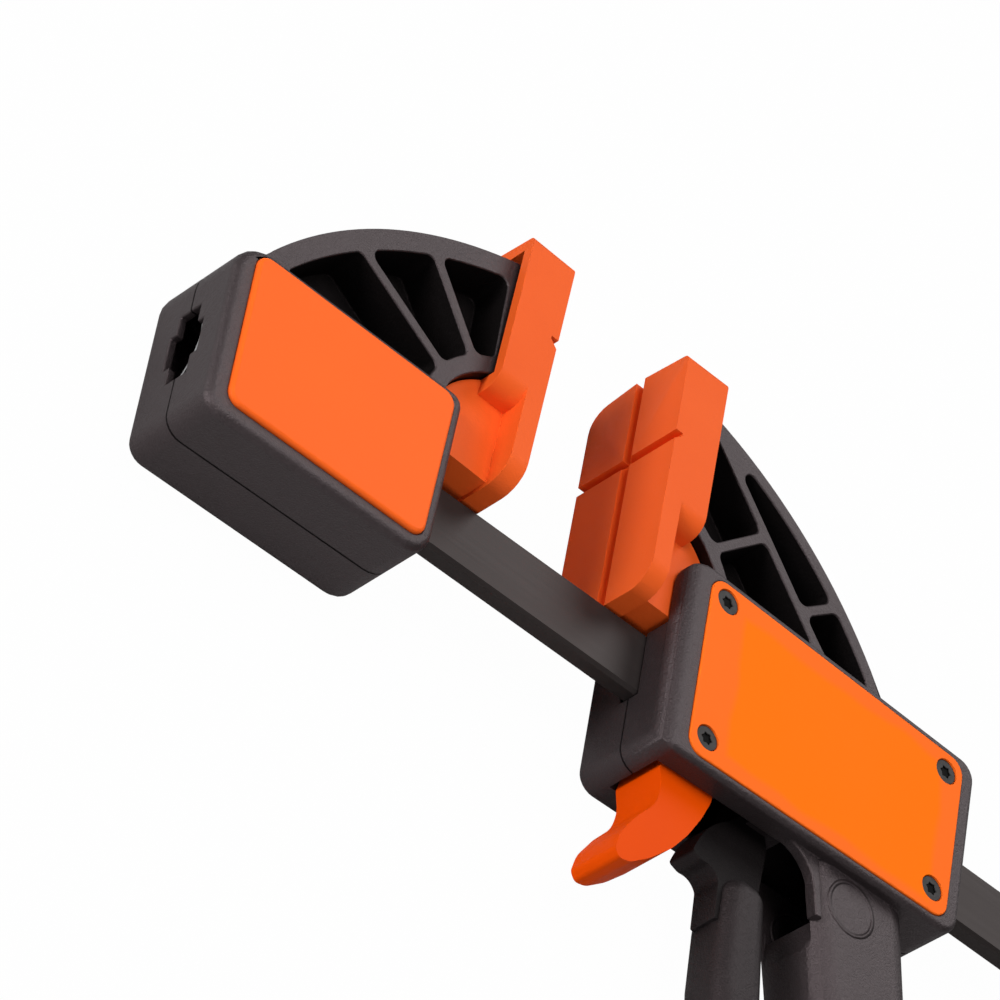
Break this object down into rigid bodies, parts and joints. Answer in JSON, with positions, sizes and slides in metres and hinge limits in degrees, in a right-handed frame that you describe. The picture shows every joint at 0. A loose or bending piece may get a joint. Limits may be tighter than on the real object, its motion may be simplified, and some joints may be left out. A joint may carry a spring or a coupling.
{
  "type": "quick release bar clamp",
  "caption": "One-handed quick release bar clamp with a fixed and a sliding jaw, soft swivelling pads, a squeeze lever with a drive and a tilting brake plate with a release trigger.",
  "frame": {"origin": "centre of the bounding box along X and Y, Z = 0 on the plane the clamp lies on (the far sides of both pads)", "axes": "+X runs along the bar from the fixed jaw's end face to the bar's tail; +Y runs across the bar up to the jaw tips, so the trigger, lever and handle hang to -Y; +Z runs across the clamp from the side it lies on"},
  "size_m": [0.43, 0.2524, 0.0468],
  "materials": {
    "bar_steel": "darkened rolled steel, brushed along its length",
    "bright_steel": "zinc plated steel",
    "black_nylon": "glass filled nylon with a fine spark texture",
    "orange_plastic": "smooth moulded plastic, satin",
    "soft_orange": "soft moulded rubber, matte"
  },
  "bodies": {
    "fixed_jaw_and_bar": {"bar": "bar_steel", "bar_stop_pins": "bright_steel", "fixed_shell_near": "black_nylon", "fixed_shell_far": "black_nylon", "fixed_inlay_near": "orange_plastic", "fixed_inlay_far": "orange_plastic", "fixed_jaw_screws": "bright_steel", "lock_leaf": "bright_steel"},
    "fixed_pad_body": {"fixed_pad": "soft_orange"},
    "moving_jaw": {"moving_shell_near": "black_nylon", "moving_shell_far": "black_nylon", "side_plate_near": "orange_plastic", "side_plate_far": "orange_plastic", "plate_screws": "bright_steel", "handle_screws": "bright_steel", "lever_pin": "bright_steel"},
    "moving_pad_body": {"moving_pad": "soft_orange"},
    "brake": {"brake_plate": "bright_steel", "release_trigger": "orange_plastic", "brake_spring": "bright_steel"},
    "lever": {"squeeze_lever": "black_nylon"},
    "drive": {"drive_plates": "bright_steel", "drive_spring": "bright_steel"}
  },
  "joints": [
    {"name": "jaw_slide", "type": "slide", "parent": "fixed_jaw_and_bar", "child": "moving_jaw", "axis": [1, 0, 0], "range_m": [-0.0475, 0.0648]},
    {"name": "fixed_pad_tilt", "type": "hinge", "parent": "fixed_jaw_and_bar", "child": "fixed_pad_body", "pos_m": [-0.095, 0.03383, 0.0234], "axis": [0, 0, 1], "range_deg": [0, 3]},
    {"name": "moving_pad_tilt", "type": "hinge", "parent": "moving_jaw", "child": "moving_pad_body", "pos_m": [-0.0397, 0.03383, 0.0234], "axis": [0, 0, 1], "range_deg": [-0.5, 2.5]},
    {"name": "brake_release", "type": "hinge", "parent": "moving_jaw", "child": "brake", "pos_m": [0.004, 0.03183, 0.0234], "axis": [0, 0, 1], "range_deg": [0, 4], "stiffness_Nm_per_rad": 1, "springref_deg": -1.72, "deforming": ["brake_spring"]},
    {"name": "lever_squeeze", "type": "hinge", "parent": "moving_jaw", "child": "lever", "pos_m": [0.035, 0.03283, 0.0234], "axis": [0, 0, 1], "range_deg": [0, 9], "stiffness_Nm_per_rad": 0.8, "springref_deg": -2.86},
    {"name": "drive_travel", "type": "slide", "parent": "moving_jaw", "child": "drive", "axis": [1, 0, 0], "range_m": [0, 0.0062], "deforming": ["drive_spring"]}
  ],
  "couplings": [
    {"joint": "drive_travel", "follows": "lever_squeeze", "m_per_rad": 0.039}
  ]
}
